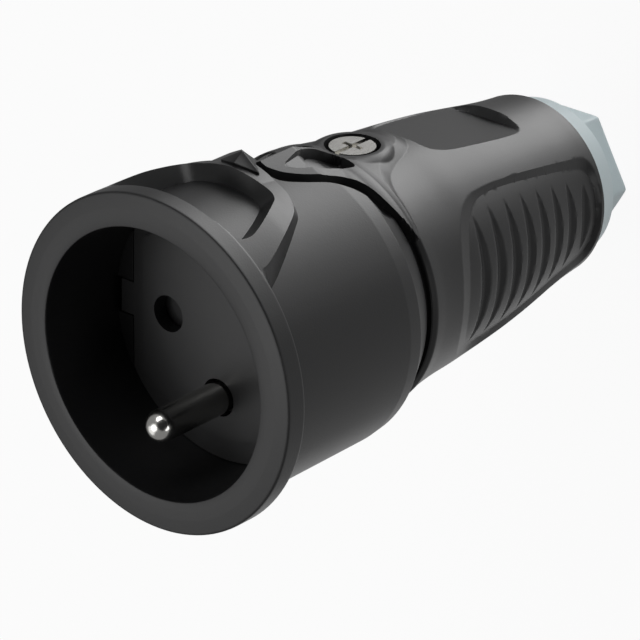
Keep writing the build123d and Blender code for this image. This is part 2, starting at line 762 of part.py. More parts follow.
def gland_nut():
    top = rear_end + seat_gap
    neck_end = rear_end + neck_length
    flange = turned([(0, top), (nut_flange_radius - 0.3, top), (nut_flange_radius, top + 0.3),
                     (nut_flange_end_radius, nut_flange_end), (0, nut_flange_end)])
    hexagon = extrude(RegularPolygon(nut_across_corners / 2, 6), amount=level(nut_flange_end) + 0.2)
    corner = nut_across_corners / 2 - nut_corner_round
    hexagon = hexagon & turned([(0, nut_flange_end - 0.5), (corner, nut_flange_end - 0.5), (corner, total_length - 0.6),
                                (corner - 0.9, total_length), (0, total_length)])
    room_end = neck_end + seat_gap + clamp_flange + 0.1
    throat = clamp_flange_radius + 0.15
    ledge = neck_end + 0.06
    inside = [(0, top - 1), (neck_radius + thread_clearance, top - 1), (neck_radius + thread_clearance, ledge)]
    inside += [(throat, ledge), (throat, room_end), (gland_bore + 0.25, room_end)]
    inside += [(cord_entry_radius + 0.2, total_length - cord_entry_length - 0.2)]
    inside += [(cord_entry_radius, total_length - cord_entry_length), (cord_entry_radius, total_length + 1), (0, total_length + 1)]
    return flange + hexagon - turned(inside)


def main():
    os.makedirs("parts", exist_ok=True)
    half_spacing = contact_spacing / 2
    places = {"live": (half_spacing, 0.0, -1), "neutral": (-half_spacing, 0.0, -1), "earth": (0.0, pin_offset - earth_terminal_shift, 1)}
    pieces = {
        "front_shell": front_shell(),
        "rear_shell": rear_shell(),
        "contact_insert": contact_insert(),
        "shutter": shutter(),
        "shutter_spring": shutter_spring(),
        "contact_carrier": carrier(),
        "insert_screws": insert_screws(),
        "earth_pin": earth_pin(),
        "earth_terminal": earth_terminal(),
        "live_contact": contact(1),
        "neutral_contact": contact(-1),
        "live_contact_clip": contact_clip(1),
        "neutral_contact_clip": contact_clip(-1),
        "housing_screw": housing_screw(),
        "screw_washer": screw_washer(),
        "housing_nut": housing_nut(),
        "clamp_ring": clamp_ring(),
        "gland_seal": gland_seal(),
        "gland_nut": gland_nut(),
    }
    for name, place in places.items():
        pieces[name + "_clamp_plate"] = clamp_plate(*place)
        pieces[name + "_terminal_screw"] = terminal_screw(*place)
    for name, shape in pieces.items():
        export_step(shape, f"parts/{name}.step")


main()
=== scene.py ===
import json
import math

import bmesh
import bpy
import numpy as np
from mathutils import Euler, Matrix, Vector


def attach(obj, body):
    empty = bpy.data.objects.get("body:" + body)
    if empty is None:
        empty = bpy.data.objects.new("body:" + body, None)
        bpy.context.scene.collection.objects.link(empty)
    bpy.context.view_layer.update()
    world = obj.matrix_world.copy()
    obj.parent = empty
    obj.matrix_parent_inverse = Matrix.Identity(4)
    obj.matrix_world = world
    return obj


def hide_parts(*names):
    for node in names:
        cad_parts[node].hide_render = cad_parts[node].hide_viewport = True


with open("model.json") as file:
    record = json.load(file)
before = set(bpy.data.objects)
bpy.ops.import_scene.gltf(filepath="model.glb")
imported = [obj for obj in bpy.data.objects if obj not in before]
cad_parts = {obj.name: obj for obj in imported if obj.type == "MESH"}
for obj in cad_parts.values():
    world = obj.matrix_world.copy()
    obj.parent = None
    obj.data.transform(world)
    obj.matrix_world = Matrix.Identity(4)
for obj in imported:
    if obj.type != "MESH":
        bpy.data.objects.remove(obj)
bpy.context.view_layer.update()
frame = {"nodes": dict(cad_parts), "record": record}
nodes = frame["nodes"]

# All sizes below are in millimetres. Depth is counted down from the mouth, and angles are counted from the side
# of the housing screw.
overallLength = 93.4



class Wire:
    # a socket that can be added, multiplied and so on
    def __init__(self, tree, socket):
        self.tree, self.socket = tree, socket

    def maths(self, operation, first, second):
        step = self.tree.nodes.new("ShaderNodeMath")
        step.operation = operation
        for slot, value in enumerate((first, second)):
            if isinstance(value, Wire):
                self.tree.links.new(value.socket, step.inputs[slot])
            elif value is not None:
                step.inputs[slot].default_value = value
        return Wire(self.tree, step.outputs[0])

    def __add__(self, other): return self.maths("ADD", self, other)
    def __radd__(self, other): return self.maths("ADD", other, self)
    def __sub__(self, other): return self.maths("SUBTRACT", self, other)
    def __rsub__(self, other): return self.maths("SUBTRACT", other, self)
    def __mul__(self, other): return self.maths("MULTIPLY", self, other)
    def __rmul__(self, other): return self.maths("MULTIPLY", other, self)


class Finish:
    # a material with one Principled shader
    def __init__(self, name, **constants):
        self.material = bpy.data.materials.new(name)
        self.material.use_nodes = True
        self.tree = self.material.node_tree
        self.shader = self.tree.nodes["Principled BSDF"]
        for socket, value in constants.items():
            self.shader.inputs[socket.replace("_", " ")].default_value = value
        self.place = self.add("ShaderNodeTexCoord", {}, {}, "Object")

    def add(self, kind, settings, sockets, output=0):
        step = self.tree.nodes.new(kind)
        for key, value in settings.items():
            if key == "stops":
                ramp = step.color_ramp
                while len(ramp.elements) < len(value):
                    ramp.elements.new(0.5)
                for element, (where, shade) in zip(ramp.elements, value):
                    element.position, element.color = where, (*shade, 1)
            else:
                setattr(step, key, value)
        for key, value in sockets.items():
            if isinstance(value, Wire):
                self.tree.links.new(value.socket, step.inputs[key])
            else:
                step.inputs[key].default_value = value
        return Wire(self.tree, step.outputs[output])

    def feed(self, socket, wire):
        self.tree.links.new(wire.socket, self.shader.inputs[socket])

    def noise(self, scale, detail=3.0, rough=0.55):
        return self.add("ShaderNodeTexNoise", {}, {"Vector": self.place, "Scale": scale, "Detail": detail,
                                                   "Roughness": rough}, "Fac")

    def bump(self, height, distance, strength=1.0):
        self.feed("Normal", self.add("ShaderNodeBump", {}, {"Height": height, "Distance": distance,
                                                            "Strength": strength}, "Normal"))

    def shades(self, factor, low, high):
        # a colour that runs from low to high with the factor
        return self.add("ShaderNodeMix", {"data_type": "RGBA"},
                        {"Factor": factor, "A": (*low, 1), "B": (*high, 1)}, "Result")


texture = {"grainDetail": 2.0, "grainRough": 0.04, "cloudDetail": 4.0, "cloudRough": 0.6, "cloudDepth": 0.6,
           "streakDetail": 3.0, "streakRough": 0.08}


def mouldedPlastic(name, look):
    made = Finish(name, IOR=look["ior"])
    grain = made.noise(look["grainScale"], texture["grainDetail"])
    cloud = made.noise(look["cloudScale"], texture["cloudDetail"], texture["cloudRough"])
    made.feed("Base Color", made.shades(cloud, look["dark"], look["light"]))
    made.feed("Roughness", cloud * look["roughSpread"] + grain * texture["grainRough"] + look["rough"])
    made.bump(grain + cloud * texture["cloudDepth"], look["grainDepth"])
    return made.material


def platedMetal(name, look):
    made = Finish(name, Metallic=1.0)
    cloud = made.noise(look["cloudScale"], texture["cloudDetail"])
    streak = made.add("ShaderNodeMapping", {}, {"Vector": made.place, "Scale": look["stretch"]}, "Vector")
    fine = made.add("ShaderNodeTexNoise", {}, {"Vector": streak, "Scale": look["streakScale"],
                                               "Detail": texture["streakDetail"]}, "Fac")
    made.feed("Base Color", made.shades(cloud, look["dark"], look["light"]))
    made.feed("Roughness", cloud * look["roughSpread"] + fine * texture["streakRough"] + look["rough"])
    made.bump(fine, look["streakDepth"])
    return made.material


plasticLook = {
    "shell": dict(dark=(0.0062, 0.0063, 0.0068), light=(0.0078, 0.0079, 0.0085), rough=0.33, roughSpread=0.05,
                  grainScale=3800.0, cloudScale=90.0, grainDepth=0.000012, ior=1.50),
    "insert": dict(dark=(0.0215, 0.0217, 0.0223), light=(0.0255, 0.0257, 0.0263), rough=0.36, roughSpread=0.06,
                   grainScale=3000.0, cloudScale=120.0, grainDepth=0.000012, ior=1.48),
    "shutter": dict(dark=(0.010, 0.010, 0.011), light=(0.014, 0.014, 0.015), rough=0.40, roughSpread=0.05,
                    grainScale=3000.0, cloudScale=120.0, grainDepth=0.00001, ior=1.48),
    "carrier": dict(dark=(0.50, 0.49, 0.45), light=(0.58, 0.57, 0.53), rough=0.42, roughSpread=0.08,
                    grainScale=2500.0, cloudScale=80.0, grainDepth=0.00002, ior=1.50),
    "nut": dict(dark=(0.62, 0.715, 0.74), light=(0.67, 0.765, 0.79), rough=0.38, roughSpread=0.06,
                grainScale=3200.0, cloudScale=140.0, grainDepth=0.000012, ior=1.50),
    "clamp": dict(dark=(0.27, 0.27, 0.28), light=(0.33, 0.33, 0.34), rough=0.42, roughSpread=0.06,
                  grainScale=2500.0, cloudScale=120.0, grainDepth=0.00002, ior=1.50),
    "rubber": dict(dark=(0.018, 0.018, 0.018), light=(0.03, 0.03, 0.03), rough=0.62, roughSpread=0.10,
                   grainScale=1800.0, cloudScale=200.0, grainDepth=0.00003, ior=1.45),
}
metalLook = {
    "nickel": dict(dark=(0.70, 0.69, 0.66), light=(0.78, 0.77, 0.74), rough=0.14, roughSpread=0.05,
                   cloudScale=500.0, streakScale=2500.0, stretch=(1, 1, 0.08), streakDepth=0.000004),
    "screw": dict(dark=(0.80, 0.81, 0.82), light=(0.90, 0.91, 0.92), rough=0.30, roughSpread=0.06,
                  cloudScale=500.0, streakScale=2000.0, stretch=(1, 0.1, 1), streakDepth=0.000008),
    "brass": dict(dark=(0.62, 0.44, 0.19), light=(0.76, 0.57, 0.28), rough=0.28, roughSpread=0.12,
                  cloudScale=300.0, streakScale=1800.0, stretch=(1, 1, 0.1), streakDepth=0.00001),
    "steel": dict(dark=(0.50, 0.51, 0.53), light=(0.62, 0.63, 0.64), rough=0.30, roughSpread=0.10,
                  cloudScale=400.0, streakScale=1800.0, stretch=(1, 0.2, 1), streakDepth=0.00001),
}
finishes = {
    "black_plastic": mouldedPlastic("shellPlastic", plasticLook["shell"]),
    "insert_plastic": mouldedPlastic("insertPlastic", plasticLook["insert"]),
    "shutter_plastic": mouldedPlastic("shutterPlastic", plasticLook["shutter"]),
    "carrier_plastic": mouldedPlastic("carrierPlastic", plasticLook["carrier"]),
    "nut_plastic": mouldedPlastic("nutPlastic", plasticLook["nut"]),
    "clamp_plastic": mouldedPlastic("clampPlastic", plasticLook["clamp"]),
    "seal_rubber": mouldedPlastic("sealRubber", plasticLook["rubber"]),
    "nickel": platedMetal("brightNickel", metalLook["nickel"]),
    "brass": platedMetal("plainBrass", metalLook["brass"]),
    "steel": platedMetal("zincSteel", metalLook["steel"]),
    "screw": platedMetal("screwNickel", metalLook["screw"]),
}
slotOf = {entry["node"]: entry["material_slot"] for entry in frame["record"]["subparts"]}
for name, node in nodes.items():
    node.data.materials.clear()
    node.data.materials.append(finishes[slotOf[name]])
print("finishes made:", len(finishes))


def smoothCurve(known, values, where):
    # a curve through known points with no overshoot
    known, values = np.array(known, float), np.array(values, float)
    steps, rises = np.diff(known), np.diff(values)
    slopes = rises / steps
    tangents = np.zeros(len(known))
    tangents[0], tangents[-1] = slopes[0], slopes[-1]
    for at in range(1, len(known) - 1):
        if slopes[at - 1] * slopes[at] > 0:
            tangents[at] = 2 * slopes[at - 1] * slopes[at] / (slopes[at - 1] + slopes[at])
    where = np.clip(where, known[0], known[-1])
    at = np.clip(np.searchsorted(known, where, side="right") - 1, 0, len(steps) - 1)
    part = (where - known[at]) / steps[at]
    part2, part3 = part ** 2, part ** 3
    return ((2 * part3 - 3 * part2 + 1) * values[at] + (part3 - 2 * part2 + part) * steps[at] * tangents[at]
            + (3 * part2 - 2 * part3) * values[at + 1] + (part3 - part2) * steps[at] * tangents[at + 1])


def nearestOn(outline, across, along):
    # the nearest place on a closed outline for each point, its distance, and whether the point is inside
    best = np.full(across.shape, 1e9)
    nearX, nearY = across.copy(), along.copy()
    inside = np.zeros(across.shape, bool)
    for (x0, y0), (x1, y1) in zip(outline, np.roll(outline, -1, axis=0)):
        dx, dy = x1 - x0, y1 - y0
        length = dx * dx + dy * dy
        if length < 1e-12:
            continue
        part = np.clip(((across - x0) * dx + (along - y0) * dy) / length, 0, 1)
        onX, onY = x0 + part * dx, y0 + part * dy
        away = (across - onX) ** 2 + (along - onY) ** 2
        closer = away < best
        best = np.where(closer, away, best)
        nearX, nearY = np.where(closer, onX, nearX), np.where(closer, onY, nearY)
        crossing = dx * (along - y0) / (dy if abs(dy) > 1e-12 else 1e-12) + x0
        inside ^= ((y0 > along) != (y1 > along)) & (across < crossing)
    return nearX, nearY, np.sqrt(best), inside


def insideBy(across, along, outline):
    # how far each point lies inside a closed outline, negative outside; only points near its box are measured
    margin = 3.0
    outline = np.array(outline, float)
    low, high = outline.min(0) - margin, outline.max(0) + margin
    depth = np.full(across.shape, -margin)
    near = (across > low[0]) & (across < high[0]) & (along > low[1]) & (along < high[1])
    if near.any():
        _, _, away, inside = nearestOn(outline, across[near], along[near])
        depth[near] = np.where(inside, away, -away)
    return depth


def twoSided(half):
    # a half outline from the middle line and back to it, mirrored to a whole one
    return [(x, y) for x, y in half] + [(-x, y) for x, y in reversed(half) if x > 0]


def rounded(outline, rounds=2):
    # a closed outline with its corners cut off again and again
    points = np.array(outline, float)
    for _ in range(rounds):
        ahead = np.roll(points, -1, axis=0)
        points = np.stack([points * 0.75 + ahead * 0.25, points * 0.25 + ahead * 0.75], 1).reshape(-1, 2)
    return points


def mirrored(outline):
    # the same outline on the other side of the middle line
    return np.array(outline, float)[::-1] * (-1, 1)


def ramped(across, along, top, foot):
    # 1 inside the top outline, 0 outside the foot outline, and a slope between them
    top, foot = insideBy(across, along, top), insideBy(across, along, foot)
    return np.where(top >= 0, 1.0, np.where(foot <= 0, 0.0, foot / np.maximum(foot - top, 1e-9)))


def drawnTo(outlines, across, along, pitch, free):
    # free grid points within half a cell of an outline move onto it, so that edges come out clean
    scale = 1 / np.array(pitch)
    best = np.full(across.shape, 0.5)
    newX, newY = across.copy(), along.copy()
    for outline in outlines:
        outline = np.array(outline, float)
        low, high = outline.min(0) - pitch, outline.max(0) + pitch
        near = free & (across > low[0]) & (across < high[0]) & (along > low[1]) & (along < high[1])
        onX, onY, away, _ = nearestOn(outline * scale, across[near] * scale[0], along[near] * scale[1])
        closer = away < best[near]
        best[near] = np.where(closer, away, best[near])
        newX[near] = np.where(closer, onX / scale[0], newX[near])
        newY[near] = np.where(closer, onY / scale[1], newY[near])
    return newX, newY


def rowDepths(start, end, pitch, extra=()):
    # evenly spaced depths and a few extra ones between the same ends
    rows = list(np.linspace(start, end, max(2, int(round((end - start) / pitch)) + 1)))
    return np.array(sorted(set([round(float(row), 4) for row in rows + list(extra) if start <= row <= end])))


def columnAngles(spans):
    # column angles in radians, from spans of (start, end, count)
    return np.concatenate([np.linspace(start, end, count, endpoint=False) for start, end, count in spans])


def placeOf(radius, depth, angle):
    # the place in metres in the shared frame
    return np.stack([-radius * np.sin(angle), -radius * np.cos(angle), overallLength - depth], -1) / 1000


def linked(name, data):
    # a new object in the scene
    thing = bpy.data.objects.new(name, data)
    bpy.context.scene.collection.objects.link(thing)
    return thing


def smoothWithEdges(mesh, finish, sharpDegrees):
    mesh.materials.append(finishes[finish])
    mesh.shade_smooth()
    mesh.set_sharp_from_angle(angle=math.radians(sharpDegrees))


def pieceFrom(name, points, faces, finish, sharpDegrees):
    # a closed piece with outward faces from points in metres, with edges above an angle kept sharp
    mesh = bpy.data.meshes.new(name)
    mesh.from_pydata([tuple(map(float, point)) for point in points], [],
                     [tuple(map(int, face)) for face in faces])
    piece = linked(name, mesh)
    shape = bmesh.new()
    shape.from_mesh(mesh)
    bmesh.ops.remove_doubles(shape, verts=shape.verts, dist=1e-7)
    bmesh.ops.recalc_face_normals(shape, faces=shape.faces)
    shape.to_mesh(mesh)
    shape.free()
    smoothWithEdges(mesh, finish, sharpDegrees)
    return piece


def ringsInside(profile, angles):
    # the rings of points of a round inside, from (radius, depth) pairs
    count = len(angles)
    return [placeOf(np.full(count, radius), np.full(count, depth), angles) for radius, depth in profile]


def ringGrid(rows, columns, close=True):
    # faces of a grid whose columns run round the body
    faces = []
    for row in range(rows - 1 + int(close)):
        here, there = row * columns, (row + 1) % rows * columns
        for column in range(columns):
            beside = (column + 1) % columns
            faces.append((here + column, here + beside, there + beside, there + column))
    return faces


def splitFlat(faces, points):
    # each four-sided face is split along the diagonal whose ends lie more nearly at one height off the axis
    height = np.hypot(*(np.array(points)[:, :2] * 1000).T)
    split = []
    for face in faces:
        if len(face) != 4:
            split.append(face)
            continue
        a, b, c, d = face
        if abs(height[a] - height[c]) <= abs(height[b] - height[d]):
            split += [(a, b, c), (a, c, d)]
        else:
            split += [(a, b, d), (b, c, d)]
    return split


frontShell = {
    "profile": [(0.0, 22.6), (0.01, 22.75), (0.29, 24.8), (0.36, 24.92), (0.5, 24.98), (0.7, 25.0),
                (3.35, 25.0), (3.5, 24.95), (3.6, 24.8), (4.8, 22.7), (5.0, 22.6), (29.0, 22.5),
                (31.45, 22.24), (31.6, 22.2), (31.75, 22.08), (35.85, 19.75), (35.95, 19.65), (36.0, 19.5)],
    "archDrop": [(3.6, 0.02), (8.0, 0.05), (11.0, 0.12), (14.0, 0.45), (16.0, 0.80), (17.2, 1.05),
                 (19.0, 1.35), (20.5, 1.55)],
    "crest": 25.0, "crestHold": 0.45, "crestHalf": 5.0,
    "archTop": [(0, 1.0), (16.7, 1.0), (16.7, 3.6), (16.2, 6.0), (14.0, 10.9), (11.45, 16.3), (10.3, 17.5),
                (8.4, 18.75), (7.1, 19.2), (3.85, 19.9), (2.0, 20.1), (0, 20.1)],
    "archFoot": [(0, 0.8), (20.0, 0.8), (19.7, 3.6), (19.0, 6.0), (16.0, 11.0), (12.0, 17.3), (11.3, 18.2),
                 (9.3, 19.25), (6.5, 20.3), (2.9, 21.0), (0, 21.2)],
    "pocketTop": [(0, 3.3), (11.8, 3.3), (12.3, 5.5), (12.0, 7.3), (10.6, 10.9), (9.1, 14.2), (8.3, 15.75),
                  (6.95, 16.6), (4.3, 16.75), (2.0, 16.45), (0, 16.35)],
    "pocketFoot": [(0, 3.4), (10.9, 3.4), (11.0, 5.5), (10.6, 7.4), (9.2, 10.9), (7.7, 13.9), (7.0, 14.9),
                   (5.6, 15.6), (2.4, 15.75), (0, 15.75)],
    "pocketFloor": 21.85,
    "notchTop": [(0, 21.4), (3.9, 21.4), (4.99, 22.15), (5.85, 23.25), (6.99, 25.2), (8.01, 27.24),
                 (8.6, 28.15), (9.39, 28.99), (10.72, 30.35), (12.13, 31.3), (13.6, 32.0), (15.2, 32.3),
                 (17.0, 32.4), (17.0, 40.0), (0, 40.0)],
    "notchFoot": [(0, 21.9), (2.6, 21.9), (3.8, 22.6), (4.6, 23.7), (5.6, 25.6), (6.5, 27.9), (7.4, 29.6),
                  (8.7, 31.4), (10.3, 33.3), (12.3, 34.6), (14.8, 35.7), (16.0, 36.6), (16.0, 40.0),
                  (0, 40.0)],
    "notchFloor": 19.15,
    "inside": [(18.85, 36.0), (18.85, 18.5), (17.4, 18.5), (17.4, 16.5), (19.72, 16.5), (19.72, 14.5),
               (19.97, 0.5), (19.99, 0.22), (20.06, 0.07), (20.22, 0.0), (21.5, 0.0)],
    "unroll": 22.5, "pitch": (0.137, 0.2), "sharpDegrees": 28,
}
frontGrid = {
    "mouth": (0.0, 5.2, 0.26, [0.01, 0.29, 0.36, 0.5, 0.7, 3.35, 3.5, 3.6, 4.8, 5.0]),
    "barrel": (5.4, 32.4, 0.2, [31.45, 31.6, 31.75]),
    "cone": (32.7, 36.0, 0.3, [35.85, 35.95]),
    "fineHalf": 1.0, "fine": 330, "coarse": 90,
    "freeHalf": 0.98, "freeFrom": 3.7, "freeTo": 35.7,
}
frontOutlines = {key: rounded(twoSided(frontShell[key]))
                 for key in ("archTop", "archFoot", "pocketTop", "pocketFoot", "notchTop", "notchFoot")}


def frontRadius(depth, angle):
    look = frontShell
    angle = (angle + math.pi) % (2 * math.pi) - math.pi
    across = angle * look["unroll"]
    plain = np.interp(depth, *zip(*look["profile"]))
    hold = np.clip(look["crestHold"] + (1 - look["crestHold"]) * np.abs(across) / look["crestHalf"], 0, 1)
    raised = look["crest"] - smoothCurve(*zip(*look["archDrop"]), depth) * hold
    rise = ramped(across, depth, frontOutlines["archTop"], frontOutlines["archFoot"])
    radius = plain + rise * np.maximum(raised - plain, 0)
    sunk = ramped(across, depth, frontOutlines["pocketFoot"], frontOutlines["pocketTop"])
    radius = radius + sunk * (look["pocketFloor"] - radius)
    # the rear cone reaches further forward round the tongue, down to the notch's foot
    opened = ramped(across, depth, frontOutlines["notchFoot"], frontOutlines["notchTop"])
    return radius + opened * (look["notchFloor"] - radius)


def makeFrontShell():
    look, grid = frontShell, frontGrid
    rows = np.concatenate([rowDepths(*grid[key]) for key in ("mouth", "barrel", "cone")])
    half = grid["fineHalf"]
    angles = columnAngles([(-half, half, grid["fine"]), (half, 2 * math.pi - half, grid["coarse"])])
    depth, angle = np.meshgrid(rows, angles, indexing="ij")
    free = (np.abs(angle) < grid["freeHalf"]) & (depth > grid["freeFrom"]) & (depth < grid["freeTo"])
    across, depth = drawnTo(list(frontOutlines.values()), angle * look["unroll"], depth, look["pitch"], free)
    angle = across / look["unroll"]
    outside = placeOf(frontRadius(depth, angle), depth, angle).reshape(-1, 3)
    inside = ringsInside(look["inside"], angles)
    points = np.concatenate([outside] + inside)
    faces = splitFlat(ringGrid(len(rows) + len(inside), len(angles)), points)
    return pieceFrom("frontShellSkin", points, faces, "black_plastic", look["sharpDegrees"])


# The floor of the recess belongs to the front shell outside the insert's straight sides and tabs
floorLand = {"side": 16.6, "tabHalf": 2.75, "radius": 19.9, "top": 14.5, "bottom": 16.6, "points": 14,
             "sharpDegrees": 35}


def makeFloorLand():
    look, points, faces = floorLand, [], []
    sweep = math.acos(look["side"] / look["radius"])
    low = math.asin(look["tabHalf"] / look["radius"])
    for across in (1, -1):
        for along in (1, -1):
            arc = [(math.cos(a) * look["radius"], math.sin(a) * look["radius"])
                   for a in np.linspace(low, sweep, look["points"])]
            flat = [(look["side"], look["tabHalf"])] + arc
            ring = [(across * x, along * y) for x, y in flat]
            first = len(points)
            for height in (look["top"], look["bottom"]):
                points += [(x / 1000, y / 1000, (overallLength - height) / 1000) for x, y in ring]
            count = len(ring)
            faces.append(tuple(range(first, first + count)))
            faces.append(tuple(range(first + count, first + 2 * count)))
            for at in range(count):
                beside = (at + 1) % count
                faces.append((first + at, first + beside, first + count + beside, first + count + at))
    return pieceFrom("recessFloorLand", points, faces, "black_plastic", look["sharpDegrees"])


# The wedge on the arch's rear end, with half its corners as (across, depth, height over the axis)
archWedge = {
    "corners": [(0.12, 17.0, 25.0), (0.12, 18.75, 26.2), (0.12, 21.5, 23.65), (3.6, 18.3, 24.05),
                (0.5, 17.6, 22.8), (3.4, 18.6, 22.8), (0.5, 21.0, 22.8)],
    "bevel": 0.08, "sharpDegrees": 35,
}


def makeWedge():
    mesh = bpy.data.meshes.new("archWedge")
    shape = bmesh.new()
    for side in (1, -1):
        for across, depth, height in archWedge["corners"]:
            shape.verts.new((-side * across / 1000, -height / 1000, (overallLength - depth) / 1000))
    bmesh.ops.convex_hull(shape, input=shape.verts)
    bmesh.ops.bevel(shape, geom=list(shape.edges), offset=archWedge["bevel"] / 1000, segments=2, affect="EDGES",
                    profile=0.5)
    bmesh.ops.recalc_face_normals(shape, faces=shape.faces)
    shape.to_mesh(mesh)
    shape.free()
    smoothWithEdges(mesh, "black_plastic", archWedge["sharpDegrees"])
    return linked("archWedge", mesh)


frontSkin = makeFrontShell()
floorPiece = makeFloorLand()
wedgePiece = makeWedge()
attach(wedgePiece, "housing")
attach(frontSkin, "housing")
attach(floorPiece, "housing")
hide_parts("front_shell")
print("front shell:", len(frontSkin.data.polygons), "faces")


rearShell = {
    "body": [(38.27, 19.93), (41.0, 19.35), (44.0, 18.95), (47.0, 18.68), (50.6, 18.48), (54.6, 18.15),
             (58.6, 17.8), (62.7, 17.38), (67.0, 16.82), (71.3, 16.15), (75.8, 15.38), (80.2, 14.75),
             (84.1, 14.36)],
    "rim": [(37.30, 19.45), (37.42, 19.62), (38.1, 19.90), (38.27, 19.93)],
    "spigot": 18.75,
    "tongueCrest": [(22.0, 23.5), (29.5, 23.5), (31.0, 22.95), (33.8, 22.0), (37.2, 20.5), (42.4, 19.8),
                    (50.0, 19.4)],
    "tongueFall": [(22.0, 0.60), (30.2, 0.54), (34.5, 0.37), (36.3, 0.20), (38.5, 0.0), (50.0, 0.0)],
    "yokeCone": [(22.0, 0.0), (30.0, 19.5), (34.0, 20.5), (38.0, 20.15), (42.4, 19.8), (46.0, 19.6),
                 (50.0, 19.4), (53.0, 19.2)],
    "yokeTop": [(0, 22.55), (0.8, 22.6), (1.49, 23.35), (2.29, 24.34), (3.19, 25.96), (4.16, 28.03),
                (5.0, 30.37), (5.84, 32.65), (7.03, 34.05), (8.63, 35.04), (10.3, 35.45), (12.6, 35.8),
                (15.4, 36.45), (17.4, 37.0), (19.0, 37.5), (19.0, 37.75), (14.0, 38.05), (10.2, 38.35),
                (8.9, 38.9), (7.7, 39.8), (6.25, 41.0), (4.9, 44.3), (3.45, 48.0), (2.6, 49.2), (1.4, 49.9),
                (0, 50.0)],
    "yokeFoot": [(0, 22.42), (1.0, 22.45), (1.7, 23.2), (2.5, 24.2), (3.42, 25.85), (4.4, 27.95),
                 (5.25, 30.3), (6.08, 32.5), (7.2, 33.85), (8.75, 34.8), (10.35, 35.22), (12.7, 35.57),
                 (15.5, 36.25), (17.5, 36.85), (19.4, 37.3), (19.6, 38.1), (14.5, 38.9), (11.4, 39.3),
                 (10.2, 40.0), (8.9, 41.0), (7.6, 43.0), (6.4, 45.8), (5.2, 48.8), (4.1, 50.6), (2.3, 51.7),
                 (0, 51.9)],
    # the pocket beside the tongue's crest: a shallow ramp, then a step, a flat floor and a curved wall
    "pocket": [(1.69, 25.23), (1.12, 27.8), (0.6, 30.1), (0.32, 31.5), (0.2, 32.6), (0.24, 33.7), (0.5, 34.9),
               (1.0, 35.9), (1.75, 36.7), (2.6, 37.1), (3.6, 37.3), (4.6, 37.2), (5.2, 36.9), (5.4, 36.5),
               (5.3, 36.0), (4.9, 34.8), (4.53, 33.4), (3.76, 29.46), (2.9, 27.0)],
    "ramp": [(1.69, 25.23), (1.12, 27.8), (0.6, 30.1), (1.25, 30.35), (3.6, 28.6), (2.9, 27.0)],
    "rampFrom": 25.23, "rampTo": 30.2, "rampDrop": 0.75, "rampLeast": 0.05, "rampMost": 1.2, "rampEdge": 0.15,
    "pocketDrop": 1.55, "pocketFootShare": (0.93, 0.975),
    "rimFrom": 37.28, "rimTo": 38.27, "crestTo": 38.5, "yokeReach": 1.1,
    "landReach": 0.6, "landFrom": 30, "landRadius": 6.0, "landFade": 1.4,
    "screwDepth": 42.5, "screwHole": 3.9, "screwHoleLip": 4.1, "screwFloor": 16.85, "screwLand": 19.75,
    "label": [(0, 52.2), (3.2, 52.3), (5.4, 52.9), (6.3, 54.2), (7.1, 57.0), (7.35, 71.0), (7.0, 72.8),
              (6.0, 73.7), (3.2, 74.1), (0, 74.2)],
    "labelFoot": [(0, 52.4), (3.1, 52.5), (5.2, 53.1), (6.1, 54.3), (6.9, 57.0), (7.1, 70.9), (6.7, 72.3),
                  (5.8, 73.1), (3.1, 73.5), (0, 73.6)],
    "labelFloor": [(52.0, 17.05), (74.2, 14.15)],
    "inside": [(14.36, 84.28), (14.2, 84.4), (10.6, 84.4), (10.6, 88.3), (10.4, 88.5), (8.3, 88.5),
               (8.05, 88.3), (8.05, 74.0), (6.75, 74.0), (6.75, 72.0), (13.2, 72.0), (14.4, 64.0),
               (15.2, 56.0), (15.9, 48.0), (16.5, 42.0), (16.85, 38.3), (16.85, 30.7)],
    "unroll": 20.0, "pitch": (0.152, 0.25), "gripPitch": (0.36, 0.24), "sharpDegrees": 28,
}
grip = {
    "panel": [(0.0, 45.2), (5.9, 45.8), (10.0, 47.5), (12.6, 49.6), (13.7, 52.0), (14.06, 54.0),
              (13.83, 58.3), (13.3, 63.4), (12.35, 68.4), (11.26, 73.6), (10.1, 78.8), (9.6, 81.6),
              (8.7, 82.9), (6.9, 83.4), (4.5, 83.65), (0.0, 83.7)],
    "panelFloor": [(0.0, 47.8), (5.0, 48.3), (9.4, 49.9), (12.2, 52.6), (12.95, 55.3), (12.99, 58.3),
                   (12.33, 63.3), (11.3, 68.2), (10.1, 73.4), (8.8, 78.6), (8.0, 81.3), (6.3, 82.5),
                   (3.7, 82.95), (0.0, 83.05)],
    "drop": 0.72, "first": 52.0, "step": 4.05,
    "reach": [36.0, 37.7, 37.0, 35.8, 34.3, 32.1, 29.2, 23.6], "half": 1.22, "sink": 0.62, "valley": 0.08,
    "points": 33,
}
rearGrid = {
    "tongue": (22.4, 30.7, 0.22), "underside": 18.6, "tongueHalf": 0.36,
    "front": (30.7, 37.26, 0.25), "rim": 37.29, "yoke": (37.33, 50.0, 0.26, [37.42, 38.1, 38.27]),
    "grooveRows": [0, 0.1, 0.4, 0.7, 1.0, 1.3, 1.66], "betweenFrom": 54.025, "end": (82.3, 84.1, 0.3),
    "fineHalf": 0.8, "fine": 210, "sideTo": 2.4, "side": 84, "far": 44,
    "freeHalf": 0.78, "gripHalf": 0.86, "gripFrom": 45, "gripCoarse": 0.81, "gripFine": 0.79,
    "heldFrom": 37.0, "heldTo": 38.5, "bodyFree": (30.9, 83.9), "tongueFree": (22.5, 30.6),
}


def plainRear(depth):
    look = rearShell
    body = smoothCurve(*zip(*look["body"]), depth)
    rim = np.interp(depth, *zip(*look["rim"]))
    return np.where(depth < look["rimFrom"], look["spigot"], np.where(depth < look["rimTo"], rim, body))


